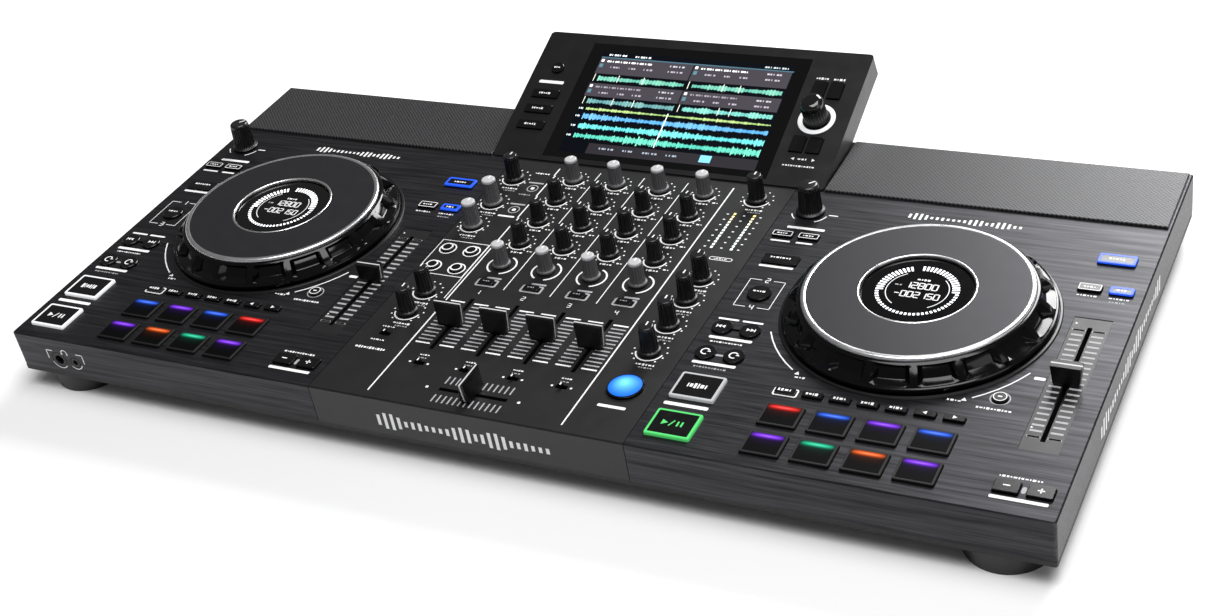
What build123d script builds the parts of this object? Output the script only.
from build123d import *
from collections import namedtuple
from math import cos, radians, sin
import os

os.makedirs("parts", exist_ok=True)

# A standalone four-channel DJ controller: two jog-wheel decks on either side of a
# mixer, with a tilted touchscreen over the rear edge. Millimetres, +Z up. z = 0 is
# the surface the feet stand on, +X is the performer's right, +Y points away from the
# performer, and x = y = 0 is the middle of the overall box. Places across the panel
# are given as (x, distance behind the front edge).

# ---- Casing -------------------------------------------------------------------
body_width = 658.0
body_depth = 315.0
body_height = 28.5
foot_height = 13.5
foot_top_radius = 25.0
foot_base_radius = 23.5
foot_inset_x = 31.0
foot_inset_front = 25.0
mixer_width = 202.2
seam_gap = 0.4
plate_thickness = 2.0
plate_edge_chamfer = 0.8
corner_radius = 2.0
tray_floor = 3.0
tray_wall = 2.0
tray_clearance = 0.2
rear_wall_thickness = 2.5
rear_corner_radius = 1.5
boss_radius = 4.0
boss_split = 30.0
screw_radius = 1.5
screw_clearance = 0.1
screw_head_radius = 2.8
screw_head_height = 1.8
screw_rows = (37.0, 152.0, 300.0)
boss_inset_mixer = 7.0
boss_inset_side = 9.0

# ---- Speaker strip along the rear --------------------------------------------
grille_front = 255.0
grille_thickness = 1.6
grille_margin = 2.0
speaker_x = 226.0
speaker_radius = 23.0
speaker_depth = 15.0
speaker_rim = 2.5

# ---- Touchscreen housing -----------------------------------------------------
display_width = 238.0
display_slope = 112.0
display_tilt = 20.0
display_thickness = 16.0
display_lift = 1.0
display_corner_radius = 3.0
glass_width = 161.0
glass_depth = 100.0
glass_thickness = 2.0
glass_shift = -1.5
glass_centre = 54.0
lcd_width = 150.0
lcd_depth = 78.0
lcd_centre = 62.0
lcd_thickness = 5.0
display_key_depth = 6.0
browse_bore_depth = 10.0
pocket_clearance = 0.15

# ---- Rotary controls ---------------------------------------------------------
shaft_radius = 3.0
shaft_running_clearance = 0.05
panel_hole_clearance = 0.6
knob_lift = 0.8
knob_wall = 0.03
small_knob_radius = 5.8
small_knob_height = 15.7
side_knob_radius = 6.4
side_knob_height = 17.5
deck_knob_radius = 9.0
deck_knob_height = 19.5
browse_knob_radius = 8.0
browse_knob_height = 18.0
knob_crown = 0.82
knob_edge = 0.7
skirt_height = 2.6
pot_size = 9.8
pot_height = 6.5

# ---- Boards ------------------------------------------------------------------
board_top = 31.0
board_thickness = 1.6
board_margin = 6.0
board_rear = 246.0
switch_size = 5.0
switch_height = 3.5
board_front = 22.0
key_travel = 1.2

# ---- Channel strip -----------------------------------------------------------
channel_count = 4
channel_pitch = 31.07
channel_shift = -0.4
knob_row_front = 137.0
knob_row_pitch = 25.0
knob_rows = ("filter", "low", "mid", "high", "gain")
line_fader_middle = 75.0
line_fader_rest = 75.0
line_fader_travel = 45.0
line_cap = (18.0, 10.5, 14.5)
crossfader_front = 17.3
crossfader_travel = 38.0
crossfader_cap = (9.0, 20.0, 13.0)
slot_width = 2.6
stem_width = 1.6
stem_length = 4.0
fader_body_width = 13.0
fader_body_height = 14.0
carriage_size = 7.0
carriage_height = 3.0
fader_wall = 2.0
assign_front = 36.0
assign_travel = 2.0
lever_size = 2.4
lever_height = 2.5

# ---- Decks -------------------------------------------------------------------
deck_centre = 214.9
jog_front = 146.8
jog_radius = 75.5
jog_height = 16.9
jog_lift = 1.5
jog_ring_radius = 63.3
jog_inner_radius = 32.6
jog_top_thickness = 3.4
jog_skirt_inner = 67.5
jog_rim_height = 5.0
jog_post_radius = 31.5
jog_post_wall = 4.0
jog_bearing_height = 7.5
jog_running_clearance = 0.05
jog_display_recess = 2.2
jog_display_thickness = 2.0
scoop_count = 18
scoop_start = 16.0
scoop_radius = 8.0
scoop_depth = 3.0
pitch_offset = 92.6
pitch_fader_middle = 105.0
pitch_fader_travel = 91.6
pitch_cap = (16.5, 10.0, 11.0)
pitch_recess = (20.6, 114.0, 0.5)

# ---- Pads --------------------------------------------------------------------
pad_pitch_x = 27.25
pad_pitch_y = 23.8
pad_row_front = 17.9
pad_size = (21.5, 17.5)
pad_rise = 1.6
key_gap = 0.3
key_corner = 1.0
key_rise = 1.6
display_key_rise = 1.3

# ---- Sockets -----------------------------------------------------------------
jack_radius = 3.25
jack_bezel_radius = 5.4
jack_depth = 16.0
small_jack_radius = 1.8
small_jack_bezel_radius = 3.6
headphone_x = -296.0
small_headphone_x = -283.0
front_jack_drop = 16.0
socket_height = 27.5
rca_radius = 4.15
rca_bore = 1.7
rca_length = 8.0
rca_body_radius = 5.0
rca_body_length = 10.0
rca_pitch_x = 16.0
rca_pitch_z = 11.0
rca_columns = 4
rca_x = 60.0
rear_jack_x = (-210.0, -190.0)
usb_x = (190.0, 212.0)
usb_size = (13.0, 6.0, 12.0)
usb_shell = 0.5
usb_host_x = 160.0
usb_host_size = (9.0, 8.4, 12.0)
inlet_x = 265.0
inlet_size = (28.0, 20.0, 17.0)
inlet_wall = 2.0
inlet_pin = (2.0, 4.0, 9.0)
inlet_pin_spread = 7.0

# ---- Values worked out from the ones above -----------------------------------
panel_z = foot_height + body_height
plate_under = panel_z - plate_thickness
tray_top = foot_height + tray_floor
tilt = radians(display_tilt)
overall_depth = max(
    body_depth,
    grille_front + display_slope * cos(tilt) + display_thickness * sin(tilt),
)
half_body = body_width / 2
half_mixer = mixer_width / 2
boss_places = [
    (x, y)
    for x in (half_mixer + boss_inset_mixer, half_body - boss_inset_side)
    for y in screw_rows
]
knob_base = panel_z + knob_lift

Key = namedtuple("Key", "x y width depth")
Knob = namedtuple("Knob", "name x y radius height")


def y_at(distance):
    """Turn a distance behind the front edge into a y coordinate."""
    return distance - overall_depth / 2


def channel_x(index):
    """Centre line of a mixer channel, 0 for the leftmost."""
    return channel_shift + (index - (channel_count - 1) / 2) * channel_pitch


def outline(key, grow=0.0):
    """A key's plan in the current sketch: a circle when it has no depth of its own."""
    with Locations((key.x, key.y)):
        if key.depth == 0:
            Circle(key.width / 2 + grow)
        else:
            RectangleRounded(key.width + 2 * grow, key.depth + 2 * grow, key_corner)


def save(part, name):
    """Label a finished piece and write its STEP file."""
    part.label = name
    export_step(part, f"parts/{name}.step")


# ---- Where the controls are --------------------------------------------------
side_knobs = [
    Knob("knob_mic_1", -88.5, 231.0, side_knob_radius, side_knob_height),
    Knob("knob_mic_2", -88.5, 201.0, side_knob_radius, side_knob_height),
    Knob("knob_mic_echo", -88.5, 174.0, side_knob_radius, side_knob_height),
    Knob("knob_cue_mix", -80.5, 101.0, side_knob_radius, side_knob_height),
    Knob("knob_cue_level", -80.5, 79.5, side_knob_radius, side_knob_height),
    Knob("knob_master", 81.5, 238.0, side_knob_radius, side_knob_height),
    Knob("knob_booth", 81.5, 150.5, side_knob_radius, side_knob_height),
    Knob("knob_effect_select", 81.5, 129.0, side_knob_radius, side_knob_height),
    Knob("knob_effect_time", 81.5, 103.5, side_knob_radius, side_knob_height),
    Knob("knob_effect_depth", 81.5, 77.5, side_knob_radius, side_knob_height),
]
channel_knobs = [
    Knob(
        f"knob_{row}_{channel + 1}",
        channel_x(channel),
        knob_row_front + knob_row_pitch * step,
        small_knob_radius,
        small_knob_height,
    )
    for step, row in enumerate(knob_rows)
    for channel in range(channel_count)
]
deck_sides = (("left", -deck_centre), ("right", deck_centre))
deck_knobs = [
    Knob(f"knob_sweep_{side}", x - 95.5, 231.5, deck_knob_radius, deck_knob_height)
    for side, x in deck_sides
]
panel_knobs = side_knobs + channel_knobs + deck_knobs

# Deck keys, measured from the jog wheel's axis; a depth of 0 makes a round key.
deck_key_plan = [
    Key(-103.0, 204.0, 13.0, 5.6),
    Key(-86.4, 204.0, 13.0, 5.6),
    Key(-94.2, 178.0, 22.0, 8.6),
    Key(-93.8, 143.0, 14.0, 0),
    Key(-102.0, 107.5, 12.0, 0),
    Key(-85.0, 107.5, 12.0, 0),
    Key(-102.0, 83.5, 12.0, 0),
    Key(-85.0, 83.5, 12.0, 0),
    Key(63.6, 83.8, 8.0, 0),
    Key(85.3, 18.6, 13.0, 9.0),
    Key(102.2, 18.6, 13.0, 9.0),
    Key(92.4, 217.5, 21.0, 9.0),
    Key(84.2, 188.3, 13.0, 6.4),
    Key(101.4, 188.3, 13.0, 6.4),
]
deck_key_plan += [Key(15.4 * step, 61.9, 11.5, 4.6) for step in range(-3, 4)]
transport_plan = [Key(-93.5, 53.4, 26.0, 20.8), Key(-93.5, 20.8, 26.0, 20.8)]
pad_plan = [
    Key(pad_pitch_x * (column - 1.5), pad_row_front + pad_pitch_y * row, *pad_size)
    for row in range(2)
    for column in range(4)
]
mixer_key_plan = [Key(channel_x(index), 117.5, 10.0, 4.4) for index in range(channel_count)]
mixer_key_plan += [Key(x, y, 8.0, 0) for x in (-91.3, -74.0) for y in (127.0, 146.2)]
mixer_key_plan += [Key(82.0, 44.0, 21.0, 0)]
levers = [(channel_x(index), assign_front) for index in range(channel_count)]
levers += [(-83.0, 56.5)]

# Display keys lie on the tilted face: (across, up the slope from its front edge).
display_key_plan = [
    Key(-101.0, 79.0, 9.0, 0),
    Key(-101.0, 55.5, 20.0, 7.0),
    Key(-101.0, 42.0, 20.0, 7.0),
    Key(-101.0, 28.0, 20.0, 7.0),
    Key(91.0, 79.0, 9.2, 14.0),
    Key(102.4, 79.0, 9.2, 14.0),
    Key(91.0, 33.5, 9.2, 13.0),
    Key(102.4, 33.5, 9.2, 13.0),
]
browse_place = (97.0, 55.0)


def on_deck(plan, x):
    """A deck's keys in panel coordinates, from places measured off its jog axis."""
    return [Key(key.x + x, y_at(key.y), key.width, key.depth) for key in plan]


def on_panel(plan):
    """Mixer keys in panel coordinates."""
    return [Key(key.x, y_at(key.y), key.width, key.depth) for key in plan]


deck_keys = [key for _, x in deck_sides for key in on_deck(deck_key_plan, x)]
transport_keys = [key for _, x in deck_sides for key in on_deck(transport_plan, x)]
pad_keys = {side: on_deck(pad_plan, x) for side, x in deck_sides}
mixer_keys = on_panel(mixer_key_plan)

display_plane = Plane(
    origin=(0, y_at(grille_front), panel_z + display_lift),
    x_dir=(1, 0, 0),
    z_dir=(0, -sin(tilt), cos(tilt)),
)

# Fader slots: (name, x, y of the middle, travel, cap size, cap offset, runs across).
Fader = namedtuple("Fader", "name x y travel cap rest across")
faders = [
    Fader(f"pitch_fader_{side}", x + pitch_offset, pitch_fader_middle, pitch_fader_travel,
          pitch_cap, 0.0, False)
    for side, x in deck_sides
]
faders += [
    Fader(f"line_fader_{index + 1}", channel_x(index), line_fader_middle, line_fader_travel,
          line_cap, line_fader_rest - line_fader_middle, False)
    for index in range(channel_count)
]
faders += [
    Fader("crossfader", channel_shift, crossfader_front, crossfader_travel,
          crossfader_cap, 0.0, True)
]


def along(fader, across_size, along_size):
    """Plan size of something on a fader: its size across and along the travel."""
    return (along_size, across_size) if fader.across else (across_size, along_size)


# ---- Casing: folded top plates -----------------------------------------------
def plate_openings(low_x, high_x):
    """Every opening that a plate between two x values needs, in the current sketch."""
    for key in deck_keys + transport_keys + pad_keys["left"] + pad_keys["right"] + mixer_keys:
        if low_x < key.x < high_x:
            outline(key, key_gap)
    for knob in panel_knobs:
        if low_x < knob.x < high_x:
            with Locations((knob.x, y_at(knob.y))):
                Circle(shaft_radius + panel_hole_clearance)
    for fader in faders:
        if low_x < fader.x < high_x:
            with Locations((fader.x, y_at(fader.y))):
                Rectangle(*along(fader, slot_width, fader.travel + stem_length + 2))
    for lever_x, lever_y in levers:
        if low_x < lever_x < high_x:
            with Locations((lever_x, y_at(lever_y))):
                Rectangle(lever_size + 2 * assign_travel + 1.0, lever_size + 0.8)
    for _, x in deck_sides:
        if low_x < x < high_x:
            with Locations((x, y_at(jog_front))):
                Circle(jog_post_radius + 1.0)
            with Locations((x + (speaker_x - deck_centre) * (1 if x > 0 else -1),
                            y_at((grille_front + body_depth) / 2))):
                Circle(speaker_radius - speaker_rim)


plate_middle = y_at(body_depth / 2)
apron_height = body_height - tray_floor


def deck_plate(side):
    """A deck's top plate with its front apron and outer side apron; side is -1 or 1."""
    width = half_body - half_mixer - seam_gap / 2
    middle = side * (half_body - width / 2)
    outer_x = side * half_body
    with BuildPart() as plate:
        with BuildSketch(Plane.XY.offset(panel_z)):
            with Locations((middle, plate_middle)):
                Rectangle(width, body_depth)
        extrude(amount=-body_height + tray_floor)
        corner = plate.edges().filter_by(Axis.Z).sort_by_distance((outer_x, y_at(0), panel_z))[0]
        fillet(corner, corner_radius)
        with BuildSketch(Plane.XY.offset(plate_under)):
            with Locations((middle - side * plate_thickness / 2, plate_middle + plate_thickness / 2)):
                Rectangle(width - plate_thickness, body_depth - plate_thickness)
        extrude(amount=-apron_height, mode=Mode.SUBTRACT)
        rims = plate.faces().sort_by(Axis.Z)[-1].edges()
        folds = rims.filter_by_position(Axis.Y, y_at(0) - 1, y_at(0) + 1)
        outer = rims.filter_by_position(Axis.X, outer_x - 1, outer_x + 1)
        chamfer(folds + outer, plate_edge_chamfer)
        with BuildSketch(Plane.XY.offset(panel_z)):
            plate_openings(min(outer_x, side * half_mixer), max(outer_x, side * half_mixer))
        extrude(amount=-plate_thickness, mode=Mode.SUBTRACT)
        with BuildSketch(Plane.XY.offset(panel_z)):
            with Locations((side * deck_centre + pitch_offset, y_at(pitch_fader_middle))):
                Rectangle(pitch_recess[0], pitch_recess[1])
        extrude(amount=-pitch_recess[2], mode=Mode.SUBTRACT)
        if side < 0:
            with BuildSketch(Plane.XZ.offset(-y_at(0))):
                with Locations((headphone_x, panel_z - front_jack_drop)):
                    Circle(jack_bezel_radius + key_gap)
                with Locations((small_headphone_x, panel_z - front_jack_drop)):
                    Circle(small_jack_bezel_radius + key_gap)
            extrude(amount=-plate_thickness, mode=Mode.SUBTRACT)
        with Locations(*[(side * x, y_at(y), boss_split) for x, y in boss_places]):
            Cylinder(boss_radius, plate_under - boss_split, align=(Align.CENTER, Align.CENTER, Align.MIN))
            Cylinder(screw_radius + screw_clearance, plate_under - boss_split - 1,
                     align=(Align.CENTER, Align.CENTER, Align.MIN), mode=Mode.SUBTRACT)
    return plate.part



plates = [deck_plate(-1), deck_plate(1)]
save(Compound(children=plates), "deck_plates")

with BuildPart() as mixer_plate:
    with BuildSketch(Plane.XY.offset(panel_z)):
        with Locations((0, plate_middle)):
            Rectangle(mixer_width - seam_gap, body_depth)
    extrude(amount=-apron_height)
    with BuildSketch(Plane.XY.offset(plate_under)):
        with Locations((0, plate_middle + plate_thickness / 2)):
            Rectangle(mixer_width - seam_gap, body_depth - plate_thickness)
    extrude(amount=-apron_height, mode=Mode.SUBTRACT)
    front_rim = mixer_plate.faces().sort_by(Axis.Z)[-1].edges().sort_by(Axis.Y)[0]
    chamfer(front_rim, plate_edge_chamfer)
    with BuildSketch(Plane.XY.offset(panel_z)):
        plate_openings(-half_mixer, half_mixer)
    extrude(amount=-plate_thickness, mode=Mode.SUBTRACT)
save(mixer_plate.part, "mixer_plate")

# ---- Casing: lower tray with the rear wall -----------------------------------
inner_width = body_width - 2 * (plate_thickness + tray_clearance)
inner_front = plate_thickness + tray_clearance
inner_depth = body_depth - inner_front
jack_places = [(x, socket_height) for x in rear_jack_x]
rca_places = [
    (rca_x + column * rca_pitch_x, socket_height + row * rca_pitch_z)
    for column in range(rca_columns)
    for row in (-0.5, 0.5)
]
foot_places = [
    (side * (half_body - foot_inset_x), y)
    for side in (-1, 1)
    for y in (foot_inset_front, body_depth - foot_inset_front)
]

with BuildPart() as base_tray:
    with BuildSketch(Plane.XY.offset(foot_height)):
        with Locations((0, plate_middle)):
            Rectangle(body_width, body_depth)
    extrude(amount=tray_floor)
    fillet(base_tray.edges().filter_by(Axis.Z), rear_corner_radius)
    with BuildSketch(Plane.XY.offset(tray_top)):
        with Locations((0, y_at(inner_front + inner_depth / 2))):
            Rectangle(inner_width, inner_depth)
        with Locations((0, y_at(inner_front + inner_depth / 2 + (tray_wall - rear_wall_thickness) / 2))):
            Rectangle(inner_width - 2 * tray_wall, inner_depth - tray_wall - rear_wall_thickness,
                      mode=Mode.SUBTRACT)
    extrude(amount=plate_under - tray_top)
    with Locations(*[(side * x, y_at(y), tray_top) for side in (-1, 1) for x, y in boss_places]):
        Cylinder(boss_radius, boss_split - tray_top, align=(Align.CENTER, Align.CENTER, Align.MIN))
    with Locations(*[(side * x, y_at(y), foot_height) for side in (-1, 1) for x, y in boss_places]):
        Cylinder(screw_radius + screw_clearance, boss_split - foot_height,
                 align=(Align.CENTER, Align.CENTER, Align.MIN), mode=Mode.SUBTRACT)
        Cylinder(screw_head_radius + screw_clearance, screw_head_height,
                 align=(Align.CENTER, Align.CENTER, Align.MIN), mode=Mode.SUBTRACT)
    with BuildSketch(Plane.XZ.offset(-y_at(body_depth))):
        with Locations(*jack_places):
            Circle(jack_bezel_radius)
        with Locations(*rca_places):
            Circle(rca_body_radius)
        with Locations(*[(x, socket_height) for x in usb_x]):
            Rectangle(usb_size[0], usb_size[1])
        with Locations((usb_host_x, socket_height)):
            Rectangle(usb_host_size[0], usb_host_size[1])
        with Locations((inlet_x, socket_height)):
            Rectangle(inlet_size[0], inlet_size[1])
    extrude(amount=rear_wall_thickness, mode=Mode.SUBTRACT)
    with BuildSketch(Plane.XZ.offset(-y_at(inner_front))):
        with Locations((headphone_x, panel_z - front_jack_drop)):
            Circle(jack_bezel_radius)
        with Locations((small_headphone_x, panel_z - front_jack_drop)):
            Circle(small_jack_bezel_radius)
    extrude(amount=-tray_wall, mode=Mode.SUBTRACT)
save(base_tray.part, "base_tray")

with BuildPart() as case_screws:
    with Locations(*[(side * x, y_at(y), foot_height) for side in (-1, 1) for x, y in boss_places]):
        Cylinder(screw_head_radius, screw_head_height, align=(Align.CENTER, Align.CENTER, Align.MIN))
        Cylinder(screw_radius, plate_under - foot_height - 3,
                 align=(Align.CENTER, Align.CENTER, Align.MIN))
        Cylinder(screw_head_radius / 2, screw_head_height / 2,
                 align=(Align.CENTER, Align.CENTER, Align.MIN), mode=Mode.SUBTRACT)
save(case_screws.part, "case_screws")

with BuildPart() as rubber_feet:
    for foot_x, foot_y in foot_places:
        with BuildSketch(Plane.XY):
            with Locations((foot_x, y_at(foot_y))):
                Circle(foot_base_radius)
        with BuildSketch(Plane.XY.offset(foot_height)):
            with Locations((foot_x, y_at(foot_y))):
                Circle(foot_top_radius)
        loft()
save(rubber_feet.part, "rubber_feet")

# ---- Speaker strip -----------------------------------------------------------
grille_outer = half_body - grille_margin
grille_inner = display_width / 2 + 0.5
grille_depth = body_depth - grille_front - grille_margin / 2
with BuildPart() as speaker_grilles:
    with BuildSketch(Plane.XY.offset(panel_z)):
        with Locations(*[(side * (grille_outer + grille_inner) / 2, y_at(grille_front + grille_depth / 2))
                         for side in (-1, 1)]):
            Rectangle(grille_outer - grille_inner, grille_depth)
    extrude(amount=grille_thickness)
    chamfer(speaker_grilles.faces().group_by(Axis.Z)[-1].edges(), 0.4)
save(speaker_grilles.part, "speaker_grilles")

with BuildPart() as speaker_drivers:
    speaker_y = y_at((grille_front + body_depth) / 2)
    with Locations((-speaker_x, speaker_y, plate_under), (speaker_x, speaker_y, plate_under)):
        Cylinder(speaker_radius, 3.0, align=(Align.CENTER, Align.CENTER, Align.MAX))
        Cylinder(speaker_radius * 0.55, speaker_depth, align=(Align.CENTER, Align.CENTER, Align.MAX))
        Cone(speaker_radius * 0.3, speaker_radius * 0.75, 2.4,
             align=(Align.CENTER, Align.CENTER, Align.MAX), mode=Mode.SUBTRACT)
save(speaker_drivers.part, "speaker_drivers")

# ---- Touchscreen housing -----------------------------------------------------
with BuildPart() as display_housing:
    with BuildSketch(display_plane):
        with Locations((0, display_slope / 2)):
            Rectangle(display_width, display_slope)
    extrude(amount=-display_thickness)
    side_edges = display_housing.edges().filter_by(Axis(display_plane.origin, display_plane.z_dir))
    fillet(side_edges, display_corner_radius)
    with BuildSketch(Plane.XY.offset(panel_z)):
        with Locations((0, y_at(body_depth / 2))):
            Rectangle(2 * display_width, 2 * body_depth)
    extrude(amount=-2 * display_thickness, mode=Mode.SUBTRACT)
    with BuildSketch(display_plane):
        with Locations((glass_shift, glass_centre)):
            Rectangle(glass_width + 2 * pocket_clearance, glass_depth + 2 * pocket_clearance)
    extrude(amount=-glass_thickness - pocket_clearance, mode=Mode.SUBTRACT)
    with BuildSketch(display_plane.offset(-glass_thickness)):
        with Locations((glass_shift, lcd_centre)):
            Rectangle(lcd_width, lcd_depth)
    extrude(amount=-lcd_thickness - pocket_clearance, mode=Mode.SUBTRACT)
    with BuildSketch(display_plane):
        for key in display_key_plan:
            outline(key, key_gap)
    extrude(amount=-display_key_depth, mode=Mode.SUBTRACT)
    with BuildSketch(display_plane):
        with Locations(browse_place):
            Circle(shaft_radius + shaft_running_clearance)
    extrude(amount=-browse_bore_depth, mode=Mode.SUBTRACT)
save(display_housing.part, "display_housing")

# The touchscreen glass, the panel behind it, and a round glass on each jog post.
with BuildPart() as screens:
    with BuildSketch(display_plane):
        with Locations((glass_shift, glass_centre)):
            Rectangle(glass_width, glass_depth)
    extrude(amount=-glass_thickness)
    with BuildSketch(display_plane.offset(-glass_thickness - pocket_clearance / 2)):
        with Locations((glass_shift, lcd_centre)):
            Rectangle(lcd_width - 1, lcd_depth - 1)
    extrude(amount=-lcd_thickness + 0.5)
    jog_glass_z = panel_z + jog_height - jog_display_recess
    with Locations(*[(x, y_at(jog_front), jog_glass_z) for _, x in deck_sides]):
        Cylinder(jog_post_radius - 1.0, jog_display_thickness,
                 align=(Align.CENTER, Align.CENTER, Align.MAX))
save(screens.part, "screens")


# ---- Rotary controls ---------------------------------------------------------
def rotary(radius, height, shaft_length):
    """A cap with a flared skirt on its own shaft, standing on the local XY plane."""
    crown = radius * knob_crown
    with BuildPart() as control:
        with BuildSketch(Plane.XZ):
            with BuildLine():
                Polyline(
                    (0, 0), (radius, 0), (radius, skirt_height), (crown, skirt_height + 1.2),
                    (crown - 0.3, height - knob_edge), (crown - 0.3 - knob_edge, height), (0, height),
                    close=True,
                )
            make_face()
        revolve(axis=Axis.Z)
        Cylinder(shaft_radius + knob_wall, height * 0.6,
                 align=(Align.CENTER, Align.CENTER, Align.MIN), mode=Mode.SUBTRACT)
        with Locations((0, crown * 0.55, height)):
            Box(0.9, crown * 0.7, 0.5, align=(Align.CENTER, Align.CENTER, Align.MAX),
                mode=Mode.SUBTRACT)
        with Locations((0, 0, height * 0.6 - knob_wall)):
            Cylinder(shaft_radius, height * 0.6 - knob_wall + shaft_length,
                     align=(Align.CENTER, Align.CENTER, Align.MAX))
    return control.part


shaft_drop = knob_base - board_top - 0.3
for knob in panel_knobs:
    control = rotary(knob.radius, knob.height, shaft_drop)
    save(Pos(knob.x, y_at(knob.y), knob_base) * control, knob.name)

browse = rotary(browse_knob_radius, browse_knob_height, browse_bore_depth - 2.0 + knob_lift)
browse_location = display_plane.location * Pos(*browse_place, knob_lift)
save(browse_location * browse, "knob_browse")

# ---- Jog wheels --------------------------------------------------------------
jog_top = panel_z + jog_height
with BuildPart() as jog_wheel:
    with BuildSketch(Plane.XZ):
        with BuildLine():
            Polyline(
                (jog_post_radius + jog_running_clearance, panel_z + jog_lift),
                (jog_post_radius + jog_running_clearance, panel_z + jog_lift + jog_bearing_height),
                (jog_inner_radius, panel_z + jog_lift + jog_bearing_height + 0.6),
                (jog_inner_radius, jog_top - 0.5),
                (jog_inner_radius + 0.8, jog_top),
                (jog_ring_radius, jog_top),
                (jog_ring_radius + 2.4, jog_top - 1.2),
                (jog_ring_radius + 4.4, jog_top - 3.2),
                (jog_radius - 1.5, panel_z + jog_rim_height + 3.0),
                (jog_radius, panel_z + jog_rim_height),
                (jog_radius, panel_z + jog_lift),
                (jog_skirt_inner + 2.0, panel_z + jog_lift),
                (jog_skirt_inner, panel_z + jog_rim_height),
                (jog_ring_radius - 2.0, jog_top - jog_top_thickness),
                (jog_inner_radius + 4.0, jog_top - jog_top_thickness),
                (jog_inner_radius + 4.0, panel_z + jog_lift),
                close=True,
            )
        make_face()
    revolve(axis=Axis.Z)
    with BuildSketch(Plane.XY.offset(panel_z)):
        with PolarLocations(
            jog_radius + scoop_radius - scoop_depth, scoop_count, start_angle=scoop_start
        ):
            Circle(scoop_radius)
    extrude(amount=jog_height - 5.0, mode=Mode.SUBTRACT)

for side, x in deck_sides:
    save(Pos(x, y_at(jog_front), 0) * jog_wheel.part, f"jog_wheel_{side}")


# ---- Faders ------------------------------------------------------------------
carriage_base = plate_under - fader_body_height + fader_wall
for fader in faders:
    shift = (fader.rest, 0) if fader.across else (0, fader.rest)
    cap_x = fader.x + shift[0]
    cap_y = y_at(fader.y) + shift[1]
    cap_width, cap_length, cap_height = fader.cap
    stem = along(fader, stem_width, stem_length)
    with BuildPart() as cap:
        with Locations((cap_x, cap_y, knob_base)):
            Box(cap_width, cap_length, cap_height, align=(Align.CENTER, Align.CENTER, Align.MIN))
        chamfer(cap.faces().sort_by(Axis.Z)[-1].edges(), 1.2)
        with Locations((cap_x, cap_y, knob_base + cap_height)):
            Box(*along(fader, max(cap_width, cap_length), 1.0), 0.6, mode=Mode.SUBTRACT)
        with Locations((cap_x, cap_y, knob_base)):
            Box(stem[0] + 2 * knob_wall, stem[1] + 2 * knob_wall, cap_height - 2,
                align=(Align.CENTER, Align.CENTER, Align.MIN), mode=Mode.SUBTRACT)
        with Locations((cap_x, cap_y, carriage_base + 0.3)):
            Box(stem[0], stem[1], knob_base + cap_height - 2 - knob_wall - carriage_base - 0.3,
                align=(Align.CENTER, Align.CENTER, Align.MIN))
            Box(carriage_size, carriage_size, carriage_height,
                align=(Align.CENTER, Align.CENTER, Align.MIN))
    save(cap.part, fader.name)


# ---- Keys --------------------------------------------------------------------
def key_caps(keys, plane, rise, depth):
    """Key caps as separate solids: each stands above the plane and reaches below it."""
    with BuildPart() as caps:
        with BuildSketch(plane.offset(rise)):
            for key in keys:
                outline(key)
        extrude(amount=-rise - depth)
        chamfer(caps.faces().filter_by(Axis(plane.origin, plane.z_dir)).sort_by(
            lambda face: (face.center() - plane.origin).dot(plane.z_dir))[-len(keys):].edges(), 0.3)
    return caps.part


panel_plane = Plane.XY.offset(panel_z)
key_depth = panel_z - board_top - switch_height - key_travel
save(key_caps(pad_keys["left"], panel_plane, pad_rise, key_depth), "pads_left")
save(key_caps(pad_keys["right"], panel_plane, pad_rise, key_depth), "pads_right")
save(key_caps(transport_keys, panel_plane, key_rise, key_depth), "transport_buttons")
save(key_caps(deck_keys, panel_plane, key_rise, key_depth), "deck_buttons")
save(key_caps(mixer_keys, panel_plane, key_rise, key_depth), "mixer_buttons")
save(key_caps(display_key_plan, display_plane, display_key_rise, display_key_depth - key_travel - 0.1),
     "display_buttons")

with BuildPart() as assign_switches:
    with Locations(*[(x, y_at(y), panel_z + lever_height) for x, y in levers]):
        Box(lever_size, lever_size, lever_height + 7.0, align=(Align.CENTER, Align.CENTER, Align.MAX))
save(assign_switches.part, "assign_switches")

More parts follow.
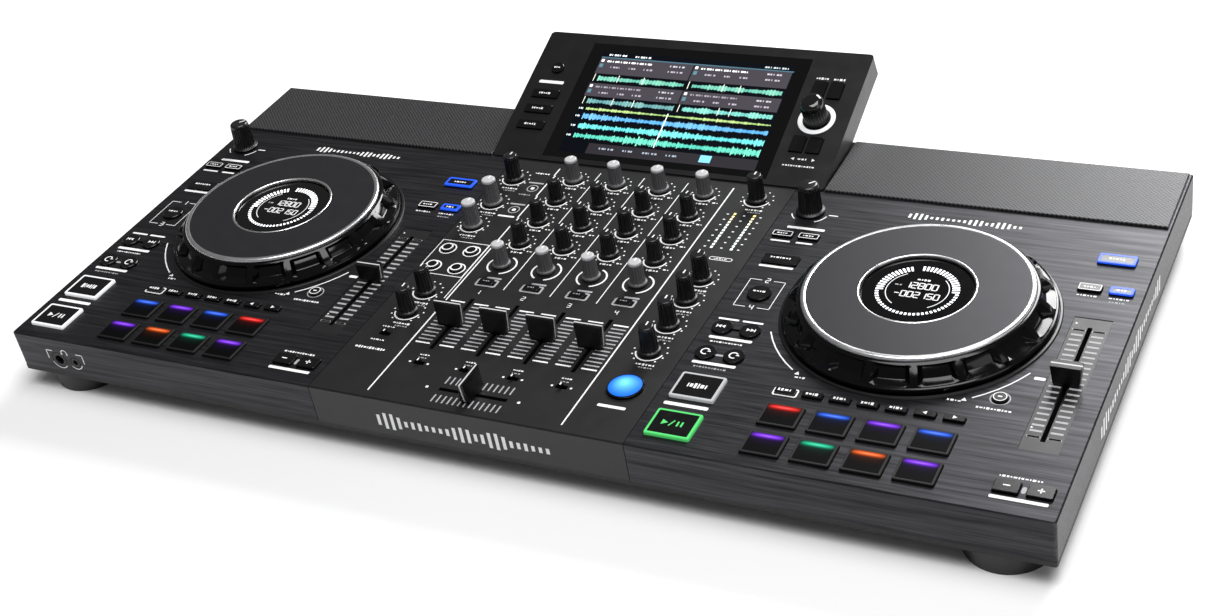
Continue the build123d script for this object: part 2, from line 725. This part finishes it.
# ---- Sockets -----------------------------------------------------------------
front_sockets = [
    (headphone_x, jack_bezel_radius, jack_radius),
    (small_headphone_x, small_jack_bezel_radius, small_jack_radius),
]
with BuildPart() as sockets:
    for x, bezel, bore in front_sockets:
        with BuildSketch(Plane.XZ.offset(-y_at(0))):
            with Locations((x, panel_z - front_jack_drop)):
                Circle(bezel)
                Circle(bore, mode=Mode.SUBTRACT)
        extrude(amount=-jack_depth)
    with BuildSketch(Plane.XZ.offset(-y_at(body_depth))):
        with Locations(*jack_places):
            Circle(jack_bezel_radius)
            Circle(jack_radius, mode=Mode.SUBTRACT)
    extrude(amount=jack_depth)
    with BuildSketch(Plane.XZ.offset(-y_at(body_depth) - rca_length)):
        with Locations(*rca_places):
            Circle(rca_radius)
            Circle(rca_bore, mode=Mode.SUBTRACT)
    extrude(amount=rca_length)
    with BuildSketch(Plane.XZ.offset(-y_at(body_depth))):
        with Locations(*rca_places):
            Circle(rca_body_radius)
            Circle(rca_bore, mode=Mode.SUBTRACT)
    extrude(amount=rca_body_length)
    for x in usb_x:
        with BuildSketch(Plane.XZ.offset(-y_at(body_depth))):
            with Locations((x, socket_height)):
                Rectangle(usb_size[0], usb_size[1])
                Rectangle(usb_size[0] - 2 * usb_shell, usb_size[1] - 2 * usb_shell, mode=Mode.SUBTRACT)
        extrude(amount=usb_size[2])
        with Locations((x, y_at(body_depth) - usb_size[2], socket_height)):
            Box(usb_size[0], 1.0, usb_size[1], align=(Align.CENTER, Align.MIN, Align.CENTER))
            Box(usb_size[0] - 2.4, usb_size[2] - 1, 1.8, align=(Align.CENTER, Align.MIN, Align.CENTER))
    with BuildSketch(Plane.XZ.offset(-y_at(body_depth))):
        with Locations((usb_host_x, socket_height)):
            Rectangle(usb_host_size[0], usb_host_size[1])
            Rectangle(usb_host_size[0] - 2 * usb_shell, usb_host_size[1] - 2 * usb_shell,
                      mode=Mode.SUBTRACT)
    extrude(amount=usb_host_size[2])
    with Locations((usb_host_x, y_at(body_depth) - usb_host_size[2], socket_height)):
        Box(usb_host_size[0], 1.0, usb_host_size[1], align=(Align.CENTER, Align.MIN, Align.CENTER))
        Box(5.6, usb_host_size[2] - 2, 3.2, align=(Align.CENTER, Align.MIN, Align.CENTER))
    with Locations((inlet_x, y_at(body_depth), socket_height)):
        Box(inlet_size[0], inlet_size[2], inlet_size[1], align=(Align.CENTER, Align.MAX, Align.CENTER))
        Box(inlet_size[0] - 2 * inlet_wall, inlet_size[2] - inlet_wall, inlet_size[1] - 2 * inlet_wall,
            align=(Align.CENTER, Align.MAX, Align.CENTER), mode=Mode.SUBTRACT)
    inlet_back = y_at(body_depth) - inlet_size[2] + inlet_wall
    with Locations(*[(inlet_x + step * inlet_pin_spread, inlet_back, socket_height)
                     for step in (-1, 0, 1)]):
        Box(inlet_pin[0], inlet_pin[2], inlet_pin[1], align=(Align.CENTER, Align.MIN, Align.CENTER))
save(sockets.part, "sockets")

# ---- Boards, pots, fader bodies, switches and jog posts ----------------------
board_pieces = []
board_spans = [(-half_body + board_margin, -half_mixer - 1), (-half_mixer + 1, half_mixer - 1),
               (half_mixer + 1, half_body - board_margin)]
for low_x, high_x in board_spans:
    with BuildPart() as board:
        with BuildSketch(Plane.XY.offset(board_top - board_thickness)):
            with Locations(((low_x + high_x) / 2, y_at((board_front + board_rear) / 2))):
                Rectangle(high_x - low_x, board_rear - board_front)
            for _, x in deck_sides:
                with Locations((x, y_at(jog_front))):
                    Circle(jog_post_radius + 2.0, mode=Mode.SUBTRACT)
            for fader in faders:
                with Locations((fader.x, y_at(fader.y))):
                    Rectangle(*along(fader, fader_body_width + 1, fader.travel + 15),
                              mode=Mode.SUBTRACT)
            for boss_x, boss_y in boss_places:
                with Locations((boss_x, y_at(boss_y)), (-boss_x, y_at(boss_y))):
                    Circle(boss_radius + 1, mode=Mode.SUBTRACT)
        extrude(amount=board_thickness)
    board_pieces.append(board.part)

with BuildPart() as pots:
    with Locations(*[(knob.x, y_at(knob.y), board_top + 0.02) for knob in panel_knobs]):
        Box(pot_size, pot_size, pot_height, align=(Align.CENTER, Align.CENTER, Align.MIN))
        Cylinder(shaft_radius + shaft_running_clearance, pot_height,
                 align=(Align.CENTER, Align.CENTER, Align.MIN), mode=Mode.SUBTRACT)
board_pieces.append(pots.part)

with BuildPart() as fader_bodies:
    for fader in faders:
        with Locations((fader.x, y_at(fader.y), plate_under - 0.02)):
            Box(*along(fader, fader_body_width, fader.travel + 14), fader_body_height,
                align=(Align.CENTER, Align.CENTER, Align.MAX))
            Box(*along(fader, slot_width, fader.travel + stem_length + 2), fader_body_height,
                align=(Align.CENTER, Align.CENTER, Align.MAX), mode=Mode.SUBTRACT)
        with Locations((fader.x, y_at(fader.y), carriage_base)):
            Box(*along(fader, carriage_size + 0.6, fader.travel + carriage_size + 2),
                carriage_height + 2, align=(Align.CENTER, Align.CENTER, Align.MIN),
                mode=Mode.SUBTRACT)
            Box(*along(fader, fader_body_width, fader.travel + 14), fader_wall,
                align=(Align.CENTER, Align.CENTER, Align.MAX))
board_pieces.append(fader_bodies.part)

with BuildPart() as switches:
    panel_keys = deck_keys + transport_keys + pad_keys["left"] + pad_keys["right"] + mixer_keys
    with Locations(*[(key.x, key.y, board_top + 0.02) for key in panel_keys]):
        Box(switch_size, switch_size, switch_height - 0.02,
            align=(Align.CENTER, Align.CENTER, Align.MIN))
board_pieces.append(switches.part)

with BuildPart() as jog_posts:
    post_height = jog_glass_z - jog_display_thickness - tray_top
    with Locations(*[(x, y_at(jog_front), tray_top) for _, x in deck_sides]):
        Cylinder(jog_post_radius, post_height, align=(Align.CENTER, Align.CENTER, Align.MIN))
        Cylinder(jog_post_radius - jog_post_wall, post_height,
                 align=(Align.CENTER, Align.CENTER, Align.MIN), mode=Mode.SUBTRACT)
board_pieces.append(jog_posts.part)
save(Compound(children=board_pieces), "control_boards")
